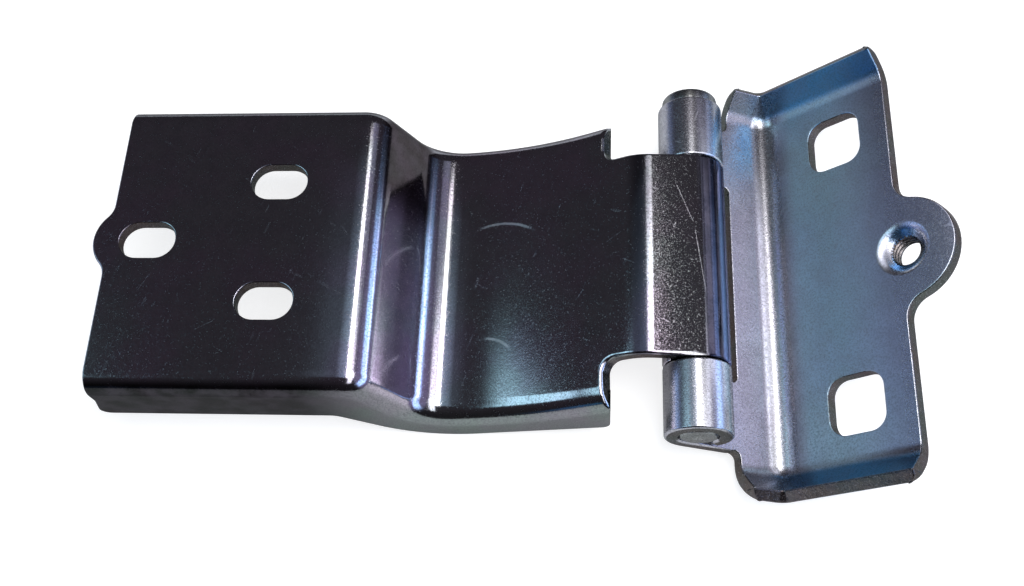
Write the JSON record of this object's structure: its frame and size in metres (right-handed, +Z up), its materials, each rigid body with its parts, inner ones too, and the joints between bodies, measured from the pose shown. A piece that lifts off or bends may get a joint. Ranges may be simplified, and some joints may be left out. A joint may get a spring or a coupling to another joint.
{
  "type": "vehicle rear door hinge",
  "caption": "Pressed steel door hinge: joggled channel leaf and flared tray leaf turning on a headed pin, slotted and square fixing holes, drawn threaded ear.",
  "frame": {"origin": "under the middle of the outline, on the plane that the door leaf's flanges rest on", "axes": "+X from the door leaf's ear towards the body leaf, along the door leaf's plate; +Y along the pin, towards its head; +Z up, out of the door leaf's mounting plate"},
  "size_m": [0.2034, 0.1114, 0.0357],
  "materials": {
    "leaf_zinc": "bright zinc plate, blue passivated",
    "pin_zinc": "bright zinc plate"
  },
  "bodies": {
    "body_side": {"body_leaf": "leaf_zinc", "hinge_pin": "pin_zinc"},
    "door_side": {"door_leaf": "leaf_zinc"}
  },
  "joints": [
    {"name": "pin_turn", "type": "hinge", "parent": "body_side", "child": "door_side", "pos_m": [0.04291, 0, 0.0178], "axis": [0, 1, 0], "range_deg": [-105, 160]}
  ]
}
